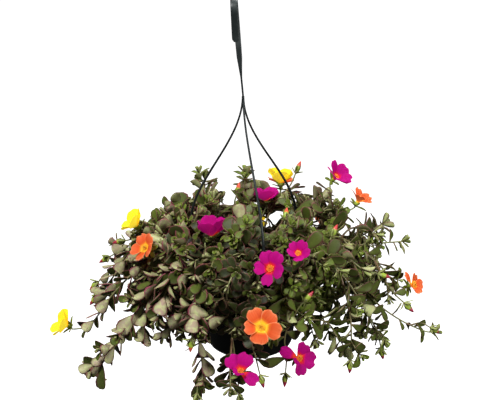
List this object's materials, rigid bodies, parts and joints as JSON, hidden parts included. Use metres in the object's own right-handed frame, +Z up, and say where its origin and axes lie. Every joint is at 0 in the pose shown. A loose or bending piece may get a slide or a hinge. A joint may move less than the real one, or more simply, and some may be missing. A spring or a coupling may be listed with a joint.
{
  "type": "portulaca hanging basket",
  "caption": "Flowering portulaca in a round plastic pot that hangs from a three-strand hanger with one flat hook; leafy stems arch over the rim and trail.",
  "frame": {"origin": "point on the inside of the hook's crown that the basket hangs on", "axes": "+Z up, -Y to the front, +X to the right seen from the front"},
  "size_m": [0.4955, 0.3573, 0.4711],
  "materials": {
    "pot": "satin",
    "hanger": "satin",
    "soil": "matte",
    "foliage": "satin",
    "petals_magenta": "matte",
    "petals_orange": "matte",
    "petals_yellow": "matte",
    "stamens": "matte"
  },
  "bodies": {
    "root": {"pot": "pot", "hanger": "hanger", "soil": "soil", "bloom_01_petals": "petals_magenta", "bloom_01_centre": "stamens", "bloom_02_petals": "petals_orange", "bloom_02_centre": "stamens", "bloom_03_petals": "petals_yellow", "bloom_03_centre": "stamens", "bloom_04_petals": "petals_orange", "bloom_04_centre": "stamens", "bloom_05_petals": "petals_magenta", "bloom_05_centre": "stamens", "bloom_06_petals": "petals_magenta", "bloom_06_centre": "stamens", "bloom_07_petals": "petals_orange", "bloom_07_centre": "stamens", "bloom_08_petals": "petals_yellow", "bloom_08_centre": "stamens", "bloom_09_petals": "petals_magenta", "bloom_09_centre": "stamens", "bloom_10_petals": "petals_magenta", "bloom_10_centre": "stamens", "bloom_11_petals": "petals_orange", "bloom_11_centre": "stamens", "bloom_12_petals": "petals_yellow", "bloom_12_centre": "stamens", "bloom_13_petals": "petals_orange", "bloom_13_centre": "stamens", "bloom_14_petals": "petals_magenta", "bloom_14_centre": "stamens", "bloom_15_petals": "petals_magenta", "bloom_15_centre": "stamens", "bloom_16_petals": "petals_magenta", "bloom_16_centre": "stamens", "bloom_17_petals": "petals_yellow", "bloom_17_centre": "stamens", "bloom_18_petals": "petals_orange", "bloom_18_centre": "stamens", "stem_top_right": "foliage", "stem_back_top": "foliage", "stem_crown": "foliage", "stem_left_front": "foliage", "stem_left": "foliage", "stem_front": "foliage", "stem_front_right": "foliage", "stem_right": "foliage", "stem_far_left": "foliage", "stem_front_trailing": "foliage", "stem_front_left_trailing": "foliage", "stem_left_high": "foliage", "stem_right_low": "foliage", "stem_far_right": "foliage", "stem_right_high": "foliage", "stem_top_left": "foliage", "stem_back_left": "foliage", "stem_back": "foliage", "stem_back_right": "foliage", "stem_back_left_trailing": "foliage", "stem_back_right_trailing": "foliage"}
  },
  "joints": []
}
